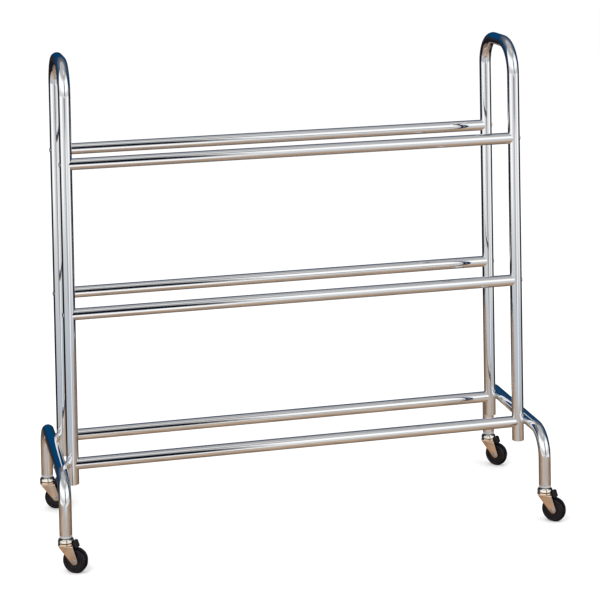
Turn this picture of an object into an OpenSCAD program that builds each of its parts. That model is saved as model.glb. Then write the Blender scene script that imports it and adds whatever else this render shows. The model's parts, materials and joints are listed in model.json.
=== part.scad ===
// Mobile three-tier saddle rack: two inverted-U end arches joined by six rails,
// standing on two wider inverted-U foot arches with a swivel stem caster at each corner.
// Units are millimetres, +Z is up, +X runs along the rails and -Y is the front.
// The origin is on the floor, midway between the four swivel axes.

/* [Tube frame] */
// Outside diameter of the end arch and foot arch tube
tube_d = 32; // [31:0.5:36]
// Outside diameter of the rail tube
rail_d = 30; // [24:0.5:30]
// Wall thickness of every tube
wall = 1.5; // [1:0.1:2]
// Distance between the two end arches, centre to centre
rack_length = 1206; // [600:1:2000]
// Distance between the front and rear rails, centre to centre
rail_spacing = 230; // [200:1:320]
// Height of the bottom rails and of the foot arches' level run
bottom_rail_z = 232; // [215:1:260]
// Height from one tier of rails to the next
tier_pitch = 386; // [250:1:500]
// Height of the straight legs above the top rails, up to the start of the bend
leg_above_top_rail = 174; // [40:1:300]
// Centreline radius of the end arch bends
arch_bend_r = 80; // [50:1:100]
// Height of the end arches' cut-off leg ends above the floor
leg_end_z = 181; // [140:1:190]

/* [Foot arches] */
// Distance between the front and rear swivel axes
foot_span = 457; // [400:1:600]
// Centreline radius of the foot arch bends
foot_bend_r = 64; // [50:1:68]
// Gap between an end arch leg and the foot arch beside it, filled by a saddle
saddle_gap = 1; // [0.6:0.1:3]
// Diameter of the saddle between a leg and a foot arch
saddle_d = 18; // [16:0.5:28]

/* [Fasteners] */
// Diameter of the bolts that hold the rails
bolt_d = 8; // [6:0.5:9]
// Diameter of the domed bolt heads
head_d = 13; // [12:0.5:18]
// Height of the domed bolt heads above the leg
head_h = 2.5; // [2:0.1:5]
// Length of the threaded nut fixed in each rail end
nut_length = 24; // [15:1:40]

/* [Casters] */
// Diameter of the wheels
wheel_d = 64; // [58:1:66]
// Width of the wheel tread
wheel_w = 20; // [16:0.5:21]
// Distance from the swivel axis back to the wheel axle
trail = 25; // [20:0.5:26]
// Diameter of the raceways
race_d = 41.5; // [40:0.5:46]
// Diameter of the caster stem inside its socket
stem_d = 11; // [10.5:0.1:13]
// Number of balls between the raceways
ball_count = 12; // [6:1:16]
// Resting swivel angle of the front left caster, from +X
swivel_front_left = -26; // [-180:1:180]
// Resting swivel angle of the rear left caster, from +X
swivel_rear_left = -14; // [-180:1:180]
// Resting swivel angle of the front right caster, from +X
swivel_front_right = -39; // [-180:1:180]
// Resting swivel angle of the rear right caster, from +X
swivel_rear_right = -43; // [-180:1:180]

/* [Hidden] */
$fn = 64;

// Sides of the rack, as the sign of x and of y
LEFT = -1;
RIGHT = 1;
FRONT = -1;
REAR = 1;

// Heights of the three tiers of rails
middle_rail_z = bottom_rail_z + tier_pitch;
top_rail_z = middle_rail_z + tier_pitch;
// Height at which the end arch bend starts
arch_bend_z = top_rail_z + leg_above_top_rail;
// Distance from a leg's axis to the axis of the foot arch beside it
foot_offset = tube_d + saddle_gap;
// Distance from the rack's centre to the swivel axes, along the rails
foot_x = rack_length / 2 + foot_offset;

// Clearance on the radius of a part that is fixed in or on another
fixed_gap = 0.02;
// Clearance on the radius of a part that turns in another
running_gap = 0.05;
// Clearance on the radius of a bolt in its hole
bolt_gap = 0.2;
// Extra length of a cutting shape past the faces it cuts
over = 1;
// Straight side of a domed bolt head, and the number of facets up its dome
head_skirt = 2.5;
dome_steps = 5;

// Heights of the caster's stack, from the floor up
axle_z = wheel_d / 2;
fork_plate_z = wheel_d + 4.5;
crown_z = fork_plate_z + 2.5;
crown_top_z = crown_z + 4;
upper_race_z = crown_top_z + 2;
upper_race_top_z = upper_race_z + 7;
socket_z = upper_race_top_z + 3.5;
tube_end_z = socket_z + 7;
socket_top_z = tube_end_z + 38;
stem_top_z = socket_top_z - 3;
grip_ring_z = stem_top_z - 8;

// Balls and the grooves that they run in
ball_d = 4;
ball_pitch_r = 14;
ball_z = (crown_top_z + upper_race_z) / 2;
groove_r = ball_d / 2 + running_gap;

// Caster stem: kingpin, shoulder and riveted lower head
kingpin_r = 5;
shoulder_r = 11;
stem_head_r = 8;
stem_head_h = 2.8;
head_play = 0.1;
grip_ring_h = 2.5;
grip_groove_r = stem_d / 2 - 1;

// Fork: two flat legs under a crown, held together by the axle
fork_inside_w = 25;
fork_t = 2.2;
fork_outside_w = fork_inside_w + 2 * fork_t;
fork_front_x = -19;
fork_rear_x = 21;
fork_tip_r = 8.5;
axle_r = 4;
axle_head_r = 5.6;
axle_head_h = 2;
rim_chamfer = 1.2;

// Moulded guard that stands behind the raceways, over the wheel
guard_w = 17;
guard_wall = 2;
guard_base_l = 13;
guard_top_l = 8;
guard_bevel = 2;
guard_low_z = wheel_d + 1.5;
guard_top_z = upper_race_top_z - 2;

// Wheel: rounded tread, recessed web and hub with a steel bush
tread_shoulder = 4.5;
shoulder_steps = 4;
web_outer_r = wheel_d / 2 - 8;
web_inner_r = 11.5;
web_w = wheel_w - 7;
hub_w = fork_inside_w - 2.5;
bush_r = 5.6;
bush_w = fork_inside_w - 0.4;

chrome_colour = [0.80, 0.82, 0.85];
zinc_colour = [0.70, 0.71, 0.73];
steel_colour = [0.62, 0.63, 0.65];
black_colour = [0.07, 0.06, 0.07];

// ---------- shared shapes ----------

// Part of a turn of round bar in the YZ plane, from +Y up towards +Z
module bend(d, bend_r, turn) {
  rotate([90, 0, 90])
    rotate_extrude(angle = turn)
      translate([bend_r, 0])
        circle(d = d);
}

// Solid inverted U in the YZ plane: two legs joined by one half-turn bend,
// or by two quarter-turn bends and a level run when the span leaves room for it
module arch_solid(d, span, bend_r, run_z, end_z) {
  run = span - 2 * bend_r;
  for (side = [-1, 1])
    translate([0, side * span / 2, end_z])
      cylinder(d = d, h = run_z - bend_r - end_z);
  if (run > 0) {
    for (side = [0, 1])
      mirror([0, side, 0])
        translate([0, run / 2, run_z - bend_r])
          bend(d, bend_r, 90);
    translate([0, -run / 2, run_z])
      rotate([-90, 0, 0])
        cylinder(d = d, h = run);
  } else {
    translate([0, 0, run_z - bend_r])
      bend(d, bend_r, 180);
  }
}

// Hollow tube bent to an inverted U, open at both ends
module arch_tube(span, bend_r, run_z, end_z) {
  difference() {
    arch_solid(tube_d, span, bend_r, run_z, end_z);
    arch_solid(tube_d - 2 * wall, span, bend_r, run_z, end_z - over);
  }
}

// Cylinder along +X from x = from to x = to
module x_rod(r, from, to) {
  translate([from, 0, 0])
    rotate([0, 90, 0])
      cylinder(r = r, h = to - from);
}

// Cylinder along Z, centred on the origin
module z_rod(r, h) {
  cylinder(r = r, h = h, center = true);
}

// Cylinder along Y, centred on the origin
module y_rod(r, h) {
  rotate([90, 0, 0])
    cylinder(r = r, h = h, center = true);
}

// Places a shape made for the right end at either end of the rack
module at_end(side) {
  mirror([side < 0 ? 1 : 0, 0, 0])
    translate([rack_length / 2, 0, 0])
      children();
}

// Ring turned about Z, with chamfered outer edges and a plain bore
module chamfered_ring(outer_r, inner_r, z_low, z_high, chamfer) {
  rotate_extrude()
    polygon([
      [inner_r, z_low],
      [outer_r - chamfer, z_low],
      [outer_r, z_low + chamfer],
      [outer_r, z_high - chamfer],
      [outer_r - chamfer, z_high],
      [inner_r, z_high]
    ]);
}

// ---------- tube frame ----------

// Narrow inverted-U end frame, bored across for the rail bolts
module end_arch(side) {
  color(chrome_colour)
    at_end(side)
      difference() {
        arch_tube(rail_spacing, arch_bend_r, arch_bend_z + arch_bend_r, leg_end_z);
        for (y = [-1, 1] * rail_spacing / 2, z = [bottom_rail_z, middle_rail_z, top_rail_z])
          translate([0, y, z])
            x_rod(bolt_d / 2 + bolt_gap, -tube_d, tube_d);
      }
}

// Straight rail whose ends are coped to sit against the round legs
module rail(depth_side, z) {
  color(chrome_colour)
    translate([0, depth_side * rail_spacing / 2, z])
      difference() {
        x_rod(rail_d / 2, -rack_length / 2, rack_length / 2);
        x_rod(rail_d / 2 - wall, -rack_length / 2 - over, rack_length / 2 + over);
        for (x = [-1, 1] * rack_length / 2)
          translate([x, 0, 0])
            z_rod(tube_d / 2 + fixed_gap, 2 * rail_d);
      }
}

// Wide inverted-U foot outside an end arch, bored across for the long bolts
module foot_arch(side) {
  color(chrome_colour)
    at_end(side)
      translate([foot_offset, 0, 0])
        difference() {
          arch_tube(foot_span, foot_bend_r, bottom_rail_z, tube_end_z);
          for (y = [-1, 1] * rail_spacing / 2)
            translate([0, y, bottom_rail_z])
              x_rod(bolt_d / 2 + bolt_gap, -tube_d, tube_d);
        }
}

// Pair of saddles that fill the space between an end arch and its foot arch
module foot_saddles(side) {
  color(chrome_colour)
    at_end(side)
      for (y = [-1, 1] * rail_spacing / 2)
        translate([0, y, bottom_rail_z])
          difference() {
            x_rod(saddle_d / 2, 0, foot_offset);
            z_rod(tube_d / 2 + fixed_gap, 2 * saddle_d);
            translate([foot_offset, 0, 0])
              y_rod(tube_d / 2 + fixed_gap, 2 * saddle_d);
            x_rod(bolt_d / 2 + bolt_gap, -over, foot_offset + over);
          }
}

// ---------- fasteners ----------

// Dome over a circle of radius r, as points from its edge up to its middle
function dome_points(r, h) =
  let (
    dome_r = (r * r + h * h) / (2 * h),
    reach = asin(r / dome_r)
  )
  [
    for (i = [0 : dome_steps])
      let (a = reach * (1 - i / dome_steps))
      [dome_r * sin(a), h - dome_r + dome_r * cos(a)]
  ];

// Domed head that fits the round leg, on a shank that reaches into the rail nut
module rail_bolt() {
  difference() {
    translate([tube_d / 2, 0, 0])
      rotate([0, 90, 0])
        rotate_extrude()
          polygon(concat([[0, -head_skirt], [head_d / 2, -head_skirt]], dome_points(head_d / 2, head_h)));
    z_rod(tube_d / 2 + fixed_gap, 2 * head_d);
  }
  x_rod(bolt_d / 2, -tube_d / 2 - nut_length + 2, tube_d / 2 + 1.5);
}

// Bolts of the top and middle rails at one end
module rail_bolts(side) {
  color(chrome_colour)
    at_end(side)
      for (y = [-1, 1] * rail_spacing / 2, z = [middle_rail_z, top_rail_z])
        translate([0, y, z])
          rail_bolt();
}

// Low curved head on a long shank through foot arch, saddle and leg
module foot_bolt() {
  cap_h = 1;
  outside = foot_offset + tube_d / 2;
  difference() {
    intersection() {
      x_rod(bolt_d / 2 + 3, outside - 3, outside + 2 * cap_h);
      translate([foot_offset, 0, 0])
        y_rod(tube_d / 2 + cap_h, 2 * head_d);
    }
    translate([foot_offset, 0, 0])
      y_rod(tube_d / 2 + fixed_gap, 2 * head_d);
  }
  x_rod(bolt_d / 2, -tube_d / 2 - nut_length + 2, outside + cap_h / 2);
}

// Bolts that hold the bottom rails and the foot arch at one end
module foot_bolts(side) {
  color(chrome_colour)
    at_end(side)
      for (y = [-1, 1] * rail_spacing / 2)
        translate([0, y, bottom_rail_z])
          foot_bolt();
}

// Threaded nuts fixed inside the six rail ends at one end of the rack
module rail_nuts(side) {
  color(zinc_colour)
    at_end(side)
      for (y = [-1, 1] * rail_spacing / 2, z = [bottom_rail_z, middle_rail_z, top_rail_z])
        translate([-tube_d / 2 - over, y, z])
          difference() {
            x_rod(rail_d / 2 - wall - fixed_gap, -nut_length, 0);
            x_rod(bolt_d / 2 + fixed_gap, -nut_length - over, over);
          }
}

// ---------- casters ----------

// Swivel axis of one corner, with the frame's directions
module at_corner(side, depth_side) {
  translate([side * foot_x, depth_side * foot_span / 2, 0])
    children();
}

// Resting swivel angle of one corner's caster
function rest_angle(side, depth_side) =
  side < 0
    ? (depth_side < 0 ? swivel_front_left : swivel_rear_left)
    : (depth_side < 0 ? swivel_front_right : swivel_rear_right);

// Swivel axis of one corner, turned so that the wheel trails along +X
module at_swivel(side, depth_side) {
  at_corner(side, depth_side)
    rotate([0, 0, rest_angle(side, depth_side)])
      children();
}

// Flanged socket driven into the open end of the foot arch tube
module stem_socket(side, depth_side) {
  color(zinc_colour)
    at_corner(side, depth_side)
      difference() {
        union() {
          chamfered_ring(tube_d / 2, stem_d / 4, socket_z, tube_end_z, 0.6);
          translate([0, 0, tube_end_z - over])
            cylinder(r = tube_d / 2 - wall - fixed_gap, h = socket_top_z - tube_end_z + over);
        }
        translate([0, 0, socket_z - over])
          cylinder(r = stem_d / 2 + fixed_gap, h = socket_top_z - socket_z + 2 * over);
      }
}

// Stem: plain upper part in the socket, shoulder, kingpin and riveted lower head
module stem(side, depth_side) {
  color(steel_colour)
    at_corner(side, depth_side)
      difference() {
        union() {
          translate([0, 0, socket_z - over])
            cylinder(d = stem_d, h = stem_top_z - socket_z + over);
          translate([0, 0, upper_race_top_z])
            cylinder(r = shoulder_r, h = socket_z - upper_race_top_z);
          translate([0, 0, fork_plate_z - stem_head_h])
            cylinder(r = kingpin_r, h = upper_race_top_z - fork_plate_z + stem_head_h + over);
          translate([0, 0, fork_plate_z - stem_head_h - head_play])
            cylinder(r = stem_head_r, h = stem_head_h);
        }
        translate([0, 0, grip_ring_z])
          difference() {
            cylinder(d = stem_d + 2, h = grip_ring_h + 2 * head_play);
            translate([0, 0, -over])
              cylinder(r = grip_groove_r, h = grip_ring_h + 2 * over);
          }
      }
}

// Split spring ring in the stem's groove that holds the stem in its socket
module grip_ring(side, depth_side) {
  ring_t = 0.8;
  color(steel_colour)
    at_corner(side, depth_side)
      translate([0, 0, grip_ring_z + head_play])
        rotate_extrude(angle = 320)
          translate([stem_d / 2 - ring_t - head_play, 0])
            square([ring_t, grip_ring_h]);
}

// Upper raceway, fixed on the stem, with the ball groove in its lower face
module upper_race(side, depth_side) {
  color(chrome_colour)
    at_corner(side, depth_side)
      difference() {
        chamfered_ring(race_d / 2, kingpin_r + fixed_gap, upper_race_z, upper_race_top_z, 2);
        ball_groove();
      }
}

// Ring-shaped space that the balls run in
module ball_groove() {
  translate([0, 0, ball_z])
    rotate_extrude()
      translate([ball_pitch_r, 0])
        circle(r = groove_r);
}

// Ring of loose balls between the raceways
module race_balls(side, depth_side) {
  color(steel_colour)
    at_swivel(side, depth_side)
      for (i = [0 : ball_count - 1])
        rotate([0, 0, i * 360 / ball_count])
          translate([ball_pitch_r, 0, ball_z])
            sphere(d = ball_d);
}

// Point where a line from p touches a circle at c of radius r, on the chosen side
function tangent_point(p, c, r, turn) =
  let (
    d = norm(c - p),
    aim = atan2(c[1] - p[1], c[0] - p[0]),
    reach = sqrt(d * d - r * r),
    swing = turn * asin(r / d)
  )
  p + reach * [cos(aim + swing), sin(aim + swing)];

// Outline of one fork leg, tapering from the crown to a round tip at the axle
module fork_leg_outline() {
  tip = [trail, axle_z];
  front = [fork_front_x, fork_plate_z];
  rear = [fork_rear_x, fork_plate_z];
  polygon([
    [fork_front_x, crown_z],
    front,
    tangent_point(front, tip, fork_tip_r, -1),
    tip,
    tangent_point(rear, tip, fork_tip_r, 1),
    rear,
    [fork_rear_x, crown_z]
  ]);
  translate(tip)
    circle(r = fork_tip_r);
}

// Fork: crown with the lower ball groove, top plate and two legs bored for the axle
module fork(side, depth_side) {
  color(chrome_colour)
    at_swivel(side, depth_side)
      difference() {
        union() {
          chamfered_ring(race_d / 2, kingpin_r / 2, crown_z - 0.5, crown_top_z, rim_chamfer);
          translate([fork_front_x, -fork_outside_w / 2, fork_plate_z])
            cube([fork_rear_x - fork_front_x, fork_outside_w, crown_z - fork_plate_z]);
          for (y = [-fork_outside_w / 2, fork_inside_w / 2])
            translate([0, y + fork_t, 0])
              rotate([90, 0, 0])
                linear_extrude(fork_t)
                  fork_leg_outline();
        }
        ball_groove();
        translate([0, 0, fork_plate_z - over])
          cylinder(r = kingpin_r + running_gap, h = crown_top_z - fork_plate_z + 2 * over);
        translate([trail, 0, axle_z])
          y_rod(axle_r + fixed_gap, fork_outside_w + 2 * over);
      }
}

// Side outline of the guard, or of its pocket, which is smaller by t and runs out below
function guard_points(t) = [
  [t, guard_low_z - t],
  [t, guard_top_z - guard_bevel - t / 2],
  [guard_bevel + t / 2, guard_top_z - t],
  [guard_top_l - guard_bevel - t / 2, guard_top_z - t],
  [guard_top_l - t, guard_top_z - guard_bevel - t / 2],
  [guard_base_l - t, guard_low_z + guard_bevel],
  [guard_base_l - t, guard_low_z - t]
];

// The guard's outline across its width
module guard_block(t) {
  translate([0, guard_w / 2 - t, 0])
    rotate([90, 0, 0])
      linear_extrude(guard_w - 2 * t)
        polygon(guard_points(t));
}

// Hooded guard fixed behind the crown, with a sloping back and open below
module wheel_guard(side, depth_side) {
  color(black_colour)
    at_swivel(side, depth_side)
      translate([fork_rear_x + fixed_gap, 0, 0])
        difference() {
          guard_block(0);
          guard_block(guard_wall);
        }
}

// Axle rivet across the fork, with a low head on each side
module axle(side, depth_side) {
  color(steel_colour)
    at_swivel(side, depth_side)
      translate([trail, 0, axle_z]) {
        y_rod(axle_r, fork_outside_w + axle_head_h);
        for (end = [-1, 1])
          translate([0, end * (fork_outside_w + axle_head_h) / 2, 0])
            y_rod(axle_head_r, axle_head_h);
      }
}

// Rounded shoulder of the tread, from its side face round to its rim
function shoulder_points(radius, half_w, r) = [
  for (i = [0 : shoulder_steps])
    let (a = 90 * i / shoulder_steps)
    [radius - r + r * sin(a), half_w - r + r * cos(a)]
];

// Flips an outline from the upper half to the lower half, and its order
function mirrored(points) = [
  for (i = [len(points) - 1 : -1 : 0])
    [points[i][0], -points[i][1]]
];

// Wheel: tread, web and hub in one moulding, bored for the bush
module wheel(side, depth_side) {
  half = concat(
    [
      [bush_r + fixed_gap, hub_w / 2],
      [web_inner_r - 1, hub_w / 2],
      [web_inner_r, web_w / 2],
      [web_outer_r - 1, web_w / 2],
      [web_outer_r, wheel_w / 2]
    ],
    shoulder_points(wheel_d / 2, wheel_w / 2, tread_shoulder)
  );
  color(black_colour)
    at_swivel(side, depth_side)
      translate([trail, 0, axle_z])
        rotate([90, 0, 0])
          rotate_extrude()
            polygon(concat(half, mirrored(half)));
}

// Steel bush in the hub, which turns on the axle
module wheel_bush(side, depth_side) {
  color(steel_colour)
    at_swivel(side, depth_side)
      translate([trail, 0, axle_z])
        difference() {
          y_rod(bush_r, bush_w);
          y_rod(axle_r + running_gap, bush_w + 2 * over);
        }
}

// ---------- assembly ----------

end_arch(LEFT);  // end_arch_left
end_arch(RIGHT);  // end_arch_right
rail(FRONT, top_rail_z);  // rail_top_front
rail(REAR, top_rail_z);  // rail_top_rear
rail(FRONT, middle_rail_z);  // rail_middle_front
rail(REAR, middle_rail_z);  // rail_middle_rear
rail(FRONT, bottom_rail_z);  // rail_bottom_front
rail(REAR, bottom_rail_z);  // rail_bottom_rear
foot_arch(LEFT);  // foot_arch_left
foot_arch(RIGHT);  // foot_arch_right
foot_saddles(LEFT);  // foot_saddles_left
foot_saddles(RIGHT);  // foot_saddles_right
rail_bolts(LEFT);  // rail_bolts_left
rail_bolts(RIGHT);  // rail_bolts_right
foot_bolts(LEFT);  // foot_bolts_left
foot_bolts(RIGHT);  // foot_bolts_right
rail_nuts(LEFT);  // rail_nuts_left
rail_nuts(RIGHT);  // rail_nuts_right
stem_socket(LEFT, FRONT);  // stem_socket_front_left
stem_socket(LEFT, REAR);  // stem_socket_rear_left
stem_socket(RIGHT, FRONT);  // stem_socket_front_right
stem_socket(RIGHT, REAR);  // stem_socket_rear_right
stem(LEFT, FRONT);  // stem_front_left
stem(LEFT, REAR);  // stem_rear_left
stem(RIGHT, FRONT);  // stem_front_right
stem(RIGHT, REAR);  // stem_rear_right
grip_ring(LEFT, FRONT);  // grip_ring_front_left
grip_ring(LEFT, REAR);  // grip_ring_rear_left
grip_ring(RIGHT, FRONT);  // grip_ring_front_right
grip_ring(RIGHT, REAR);  // grip_ring_rear_right
upper_race(LEFT, FRONT);  // upper_race_front_left
upper_race(LEFT, REAR);  // upper_race_rear_left
upper_race(RIGHT, FRONT);  // upper_race_front_right
upper_race(RIGHT, REAR);  // upper_race_rear_right
race_balls(LEFT, FRONT);  // race_balls_front_left
race_balls(LEFT, REAR);  // race_balls_rear_left
race_balls(RIGHT, FRONT);  // race_balls_front_right
race_balls(RIGHT, REAR);  // race_balls_rear_right
fork(LEFT, FRONT);  // fork_front_left
fork(LEFT, REAR);  // fork_rear_left
fork(RIGHT, FRONT);  // fork_front_right
fork(RIGHT, REAR);  // fork_rear_right
wheel_guard(LEFT, FRONT);  // wheel_guard_front_left
wheel_guard(LEFT, REAR);  // wheel_guard_rear_left
wheel_guard(RIGHT, FRONT);  // wheel_guard_front_right
wheel_guard(RIGHT, REAR);  // wheel_guard_rear_right
axle(LEFT, FRONT);  // axle_front_left
axle(LEFT, REAR);  // axle_rear_left
axle(RIGHT, FRONT);  // axle_front_right
axle(RIGHT, REAR);  // axle_rear_right
wheel(LEFT, FRONT);  // wheel_front_left
wheel(LEFT, REAR);  // wheel_rear_left
wheel(RIGHT, FRONT);  // wheel_front_right
wheel(RIGHT, REAR);  // wheel_rear_right
wheel_bush(LEFT, FRONT);  // wheel_bush_front_left
wheel_bush(LEFT, REAR);  // wheel_bush_rear_left
wheel_bush(RIGHT, FRONT);  // wheel_bush_front_right
wheel_bush(RIGHT, REAR);  // wheel_bush_rear_right
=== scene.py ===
import json
import math

import bmesh
import bpy
from mathutils import Matrix, Vector


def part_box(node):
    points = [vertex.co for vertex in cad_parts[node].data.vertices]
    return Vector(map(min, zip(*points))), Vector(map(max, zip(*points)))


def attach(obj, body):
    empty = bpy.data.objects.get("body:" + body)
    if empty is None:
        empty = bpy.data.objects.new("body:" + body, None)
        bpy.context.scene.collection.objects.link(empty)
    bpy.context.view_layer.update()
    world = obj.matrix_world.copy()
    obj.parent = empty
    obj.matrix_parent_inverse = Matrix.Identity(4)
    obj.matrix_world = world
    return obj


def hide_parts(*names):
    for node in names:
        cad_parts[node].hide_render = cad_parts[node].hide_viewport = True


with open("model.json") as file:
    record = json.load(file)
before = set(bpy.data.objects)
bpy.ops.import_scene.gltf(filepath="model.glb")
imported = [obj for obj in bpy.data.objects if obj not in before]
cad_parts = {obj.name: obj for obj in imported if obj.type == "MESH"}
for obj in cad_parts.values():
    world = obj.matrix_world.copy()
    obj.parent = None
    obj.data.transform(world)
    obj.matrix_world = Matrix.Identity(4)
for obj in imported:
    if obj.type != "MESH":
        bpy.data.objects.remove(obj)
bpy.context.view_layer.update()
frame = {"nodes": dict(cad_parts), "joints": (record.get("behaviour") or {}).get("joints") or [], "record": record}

# Saddle rack: bent and straight plated tube, four swivel stem casters.
# Lengths are in metres. Sizes and places come from the CAD nodes' boxes and the record's joints;
# the constants below are details too small for the boxes to tell.

MM = 0.001
CORNERS = ("front_left", "rear_left", "front_right", "rear_right")
SIDES = {"left": -1, "right": 1}
UP = Vector((0, 0, 1))
ALONG = Vector((1, 0, 0))
DEPTH = Vector((0, 1, 0))

TUBE_SEGMENTS = 72
TURNED_SEGMENTS = 72
WALL = 1.5 * MM
TUBE_EDGE = 0.35 * MM
STATION_STEP = 40 * MM
BEND_STEP = math.radians(3)
# Share by which a bend's tube flattens in its plane and widens across it
BEND_FLATTEN = 0.025
BEND_WIDEN = 0.010
BEND_EASE = math.radians(14)
FIT_GAP = 0.02 * MM
SHARP_EDGE = math.radians(32)

record = frame["record"]
node_body = {
    node: body for body, nodes in record["behaviour"]["bodies"].items() for node in nodes
}
joints = {joint["name"]: joint for joint in frame["joints"]}


# ---------- places taken from the CAD ----------

def centre_of(node):
    low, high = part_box(node)
    return (low + high) / 2


def size_of(node):
    low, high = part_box(node)
    return high - low


def axis_of(joint):
    return Vector(joint["axis"])


tube_r = size_of("end_arch_right").x / 2
rail_r = size_of("rail_top_front").z / 2
leg_x = centre_of("end_arch_right").x
foot_x = centre_of("foot_arch_right").x
leg_y = centre_of("rail_top_rear").y
leg_end_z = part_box("end_arch_right")[0].z
arch_top_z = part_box("end_arch_right")[1].z
foot_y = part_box("foot_arch_right")[1].y - tube_r
foot_end_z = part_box("foot_arch_right")[0].z
tier_z = {tier: centre_of(f"rail_{tier}_front").z for tier in ("bottom", "middle", "top")}


# ---------- mesh building ----------

class Shell:
    """Closed surfaces made of rings of points, with face-corner UVs in metres."""

    def __init__(self):
        self.points = []
        self.faces = []
        self.uvs = []

    def add(self, rings, loop=False):
        """Joins rings of equal count. loop joins the last ring to the first, and otherwise
        both ends are capped."""
        start, count = len(self.points), len(rings[0])
        for ring in rings:
            self.points.extend(ring)
        along = [0.0]
        for near, far in zip(rings, rings[1:] + rings[:1]):
            along.append(along[-1] + (Vector(far[0]) - Vector(near[0])).length)
        around = []
        for ring in rings:
            total = [0.0]
            for k in range(count):
                total.append(total[-1] + (Vector(ring[(k + 1) % count]) - Vector(ring[k])).length)
            around.append(total)
        last = len(rings) if loop else len(rings) - 1
        for i in range(last):
            j = (i + 1) % len(rings)
            for k in range(count):
                m = (k + 1) % count
                self.faces.append((
                    start + i * count + k,
                    start + i * count + m,
                    start + j * count + m,
                    start + j * count + k,
                ))
                self.uvs.append((
                    (around[i][k], along[i]),
                    (around[i][k + 1], along[i]),
                    (around[j][k + 1], along[i + 1]),
                    (around[j][k], along[i + 1]),
                ))
        if not loop:
            for i in (0, len(rings) - 1):
                corners = [start + i * count + k for k in range(count)]
                middle = sum((Vector(p) for p in rings[i]), Vector()) / count
                self.faces.append(tuple(corners))
                self.uvs.append(tuple(
                    ((Vector(p) - middle).length, along[i]) for p in rings[i]
                ))

    def object(self, name, material, placement=None):
        """Turns the shells into a mesh object with outward normals and smooth rounded surfaces."""
        mesh = bpy.data.meshes.new(name)
        mesh.from_pydata([tuple(p) for p in self.points], [], self.faces)
        layer = mesh.uv_layers.new(name="UVMap")
        corner_uvs = [uv for face in self.uvs for uv in face]
        layer.data.foreach_set("uv", [value for uv in corner_uvs for value in uv])
        work = bmesh.new()
        work.from_mesh(mesh)
        bmesh.ops.recalc_face_normals(work, faces=work.faces)
        work.to_mesh(mesh)
        work.free()
        if placement is not None:
            mesh.transform(placement)
            if placement.determinant() < 0:
                mesh.flip_normals()
        mesh.polygons.foreach_set("use_smooth", [True] * len(mesh.polygons))
        mesh.set_sharp_from_angle(angle=SHARP_EDGE)
        mesh.materials.append(material)
        made = bpy.data.objects.new(name, mesh)
        bpy.context.scene.collection.objects.link(made)
        return made


def stand_for(node, made):
    """The piece replaces a CAD node and rides on that node's body; its finish is given when its mesh is made."""
    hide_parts(node)
    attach(made, node_body[node])
    return made


def circle_angles(count):
    return [2 * math.pi * k / count for k in range(count)]


def ease(value):
    value = min(1.0, max(0.0, value))
    return value * value * (3 - 2 * value)


def fillet(outline, closed=True, steps=5):
    """Outline of (a, b, radius) points with each corner rounded by its own radius."""
    rounded = []
    for i, (a, b, radius) in enumerate(outline):
        here = Vector((a, b))
        at_end = not closed and i in (0, len(outline) - 1)
        if radius <= 0 or at_end:
            rounded.append((a, b))
            continue
        before = Vector(outline[i - 1][:2]) - here
        after = Vector(outline[(i + 1) % len(outline)][:2]) - here
        half = before.angle(after) / 2
        reach = min(radius / math.tan(half), before.length * 0.49, after.length * 0.49)
        radius = reach * math.tan(half)
        before.normalize()
        after.normalize()
        middle = here + (before + after).normalized() * (radius / math.sin(half))
        start = here + before * reach - middle
        sweep = math.pi - 2 * half
        turn = 1 if start.cross(after) > 0 else -1
        for step in range(steps + 1):
            angle = turn * sweep * step / steps
            c, s = math.cos(angle), math.sin(angle)
            rounded.append((
                middle.x + start.x * c - start.y * s,
                middle.y + start.x * s + start.y * c,
            ))
    return rounded


def turned(outline, axis=UP, centre=Vector((0, 0, 0))):
    """Rings of a closed (radius, height) outline turned about an axis."""
    side = axis.orthogonal().normalized()
    other = axis.cross(side)
    return [
        [
            centre + axis * h + side * (r * math.cos(t)) + other * (r * math.sin(t))
            for t in circle_angles(TURNED_SEGMENTS)
        ]
        for r, h in outline
    ]


# ---------- bent tube ----------

def half_path(span, bend_r, run_z, end_z):
    """Stations (y, z, outward normal, bend share) from a leg's cut end up to the middle of the arch."""
    stations = []
    bend_z = run_z - bend_r
    steps = max(2, round((bend_z - end_z) / STATION_STEP))
    for i in range(steps):
        stations.append((span / 2, end_z + (bend_z - end_z) * i / steps, 0.0, 0.0))
    quarter = math.pi / 2
    turns = round(quarter / BEND_STEP)
    middle_y = span / 2 - bend_r
    one_bend = middle_y < 1e-6
    for i in range(turns + 1):
        angle = quarter * i / turns
        share = ease(angle / BEND_EASE)
        if not one_bend:
            share *= ease((quarter - angle) / BEND_EASE)
        stations.append((
            middle_y + bend_r * math.cos(angle), bend_z + bend_r * math.sin(angle), angle, share,
        ))
    if not one_bend:
        steps = max(2, round(middle_y / STATION_STEP))
        for i in range(1, steps + 1):
            stations.append((middle_y * (1 - i / steps), run_z, quarter, 0.0))
    return stations


def arch_rings(x, span, bend_r, run_z, end_z, r):
    """Rings of a tube bent to an inverted U in the plane at x, a little flattened through its bends."""
    half = half_path(span, bend_r, run_z, end_z)
    far = [(-y, z, math.pi - angle, share) for y, z, angle, share in reversed(half[:-1])]
    rings = []
    for y, z, angle, share in half + far:
        normal = Vector((0, math.cos(angle), math.sin(angle)))
        ring = []
        for t in circle_angles(TUBE_SEGMENTS):
            flat = 1 - BEND_FLATTEN * share * (1.0 if math.cos(t) > 0 else 0.6)
            wide = 1 + BEND_WIDEN * share
            ring.append(
                Vector((x, y, z))
                + normal * (r * flat * math.cos(t))
                + ALONG * (r * wide * math.sin(t))
            )
        rings.append(ring)
    return rings


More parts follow.
